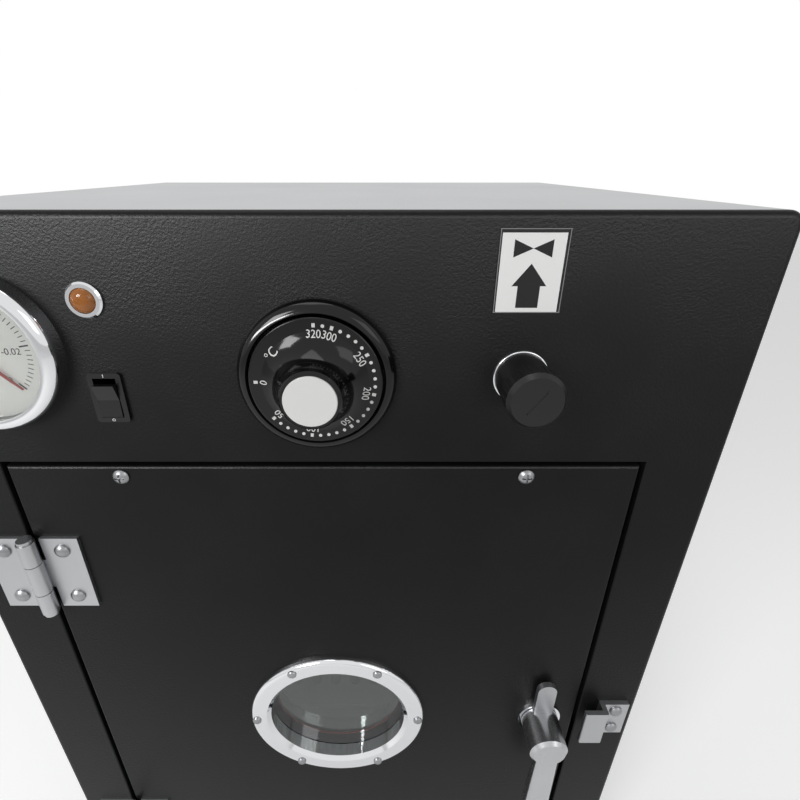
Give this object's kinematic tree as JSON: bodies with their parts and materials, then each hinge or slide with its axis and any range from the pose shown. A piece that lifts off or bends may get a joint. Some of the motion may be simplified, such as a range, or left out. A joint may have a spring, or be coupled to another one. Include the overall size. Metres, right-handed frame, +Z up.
{
  "type": "vacuum oven",
  "caption": "Compact bench vacuum oven: black control fascia with dial thermostat, vacuum release valve and gauge over an inset windowed door, steel cover and a shelved chamber.",
  "frame": {"origin": "centre of the whole oven's footprint at floor level, midway between the dial's front and the nozzle's end, which is the casing's centre", "axes": "+Z up, the front faces -Y, +X to the right seen from the front"},
  "size_m": [0.4052, 0.406, 0.56],
  "materials": {
    "black_powder_coat": "textured semi-gloss",
    "cover_steel": "brushed",
    "zinc_sheet": "plain zinc-plated",
    "rubber_black": "matt",
    "screw_steel": "zinc-plated",
    "chamber_steel": "satin stainless",
    "heater_mica": "mica",
    "mineral_wool": "fibrous",
    "shelf_aluminium": "satin",
    "black_moulding": "polished",
    "black_satin_moulding": "satin",
    "copper_tube": "drawn copper",
    "chrome": "polished",
    "brass": "turned",
    "gauge_glass": "clear",
    "gauge_white": "white enamel",
    "lamp_amber": "translucent",
    "label_film": "film",
    "silicone": "satin silicone",
    "window_glass": "clear toughened",
    "cast_handle": "satin chrome",
    "white_cap": "polished",
    "pointer_black": "matt"
  },
  "bodies": {
    "casing": {"front_frame": "black_powder_coat", "casing_cover": "cover_steel", "base_pan": "zinc_sheet", "rear_panel": "zinc_sheet", "divider": "zinc_sheet", "feet": "rubber_black", "foot_screws": "screw_steel", "casing_screws": "screw_steel", "chamber_shell": "chamber_steel", "chamber_flange": "chamber_steel", "chamber_ribs": "chamber_steel", "chamber_stands": "zinc_sheet", "heater_pads": "heater_mica", "chamber_insulation": "mineral_wool", "shelf_rails": "chamber_steel", "shelves": "shelf_aluminium", "frame_hinges": "chamber_steel", "latch_keeper": "chamber_steel", "thermostat_bezel": "black_moulding", "thermostat_body": "black_satin_moulding", "thermostat_capillary": "copper_tube", "release_ring": "chrome", "release_body": "brass", "manifold_block": "brass", "chamber_port": "chamber_steel", "vacuum_tubes": "copper_tube", "vacuum_nozzle": "brass", "power_inlet": "black_satin_moulding", "gauge_case": "chamber_steel", "gauge_bezel": "chrome", "gauge_glass": "gauge_glass", "gauge_dial": "gauge_white", "switch_housing": "black_satin_moulding", "lamp_holder": "chrome", "lamp_lens": "lamp_amber", "label_plate": "label_film"},
    "door": {"door_skin": "black_powder_coat", "door_rails": "zinc_sheet", "door_insulation": "mineral_wool", "door_plate": "chamber_steel", "door_gasket": "silicone", "door_screws": "screw_steel", "window_glass": "window_glass", "window_gasket": "silicone", "window_bezel": "chrome", "window_screws": "screw_steel", "door_hinges": "chamber_steel", "latch_bush": "chrome", "latch_nut": "zinc_sheet"},
    "latch": {"latch_spindle": "screw_steel", "latch_cam": "chamber_steel", "latch_lever": "cast_handle"},
    "thermostat_dial": {"thermostat_knob": "black_moulding", "thermostat_cap": "white_cap", "thermostat_spindle": "screw_steel"},
    "valve_knob": {"release_knob": "black_satin_moulding", "release_spindle": "brass"},
    "valve_needle": {"release_needle": "brass"},
    "pointer": {"gauge_pointer": "pointer_black"},
    "rocker": {"switch_rocker": "black_satin_moulding"}
  },
  "joints": [
    {"name": "door_hinge", "type": "hinge", "parent": "casing", "child": "door", "pos_m": [-0.1612, -0.18, 0.2393], "axis": [0, 0, -1], "range_deg": [0, 165]},
    {"name": "latch_turn", "type": "hinge", "parent": "door", "child": "latch", "pos_m": [0.136, -0.175, 0.2393], "axis": [0, 1, 0], "range_deg": [0, 90]},
    {"name": "thermostat_turn", "type": "hinge", "parent": "casing", "child": "thermostat_dial", "pos_m": [0, -0.175, 0.4887], "axis": [0, -1, 0], "range_deg": [0, 270]},
    {"name": "release_turn", "type": "hinge", "parent": "casing", "child": "valve_knob", "pos_m": [0.0932, -0.175, 0.4884], "axis": [0, -1, 0], "range_deg": [0, 720]},
    {"name": "needle_travel", "type": "slide", "parent": "casing", "child": "valve_needle", "axis": [0, -1, 0], "range_m": [0, 0.0015]},
    {"name": "gauge_turn", "type": "hinge", "parent": "casing", "child": "pointer", "pos_m": [-0.15, -0.175, 0.501], "axis": [0, -1, 0], "range_deg": [0, 270]},
    {"name": "switch_tilt", "type": "hinge", "parent": "casing", "child": "rocker", "pos_m": [-0.098, -0.171, 0.478], "axis": [-1, 0, 0], "range_deg": [0, 16]}
  ],
  "couplings": [
    {"joint": "needle_travel", "follows": "release_turn", "m_per_rad": 0.00011937}
  ]
}
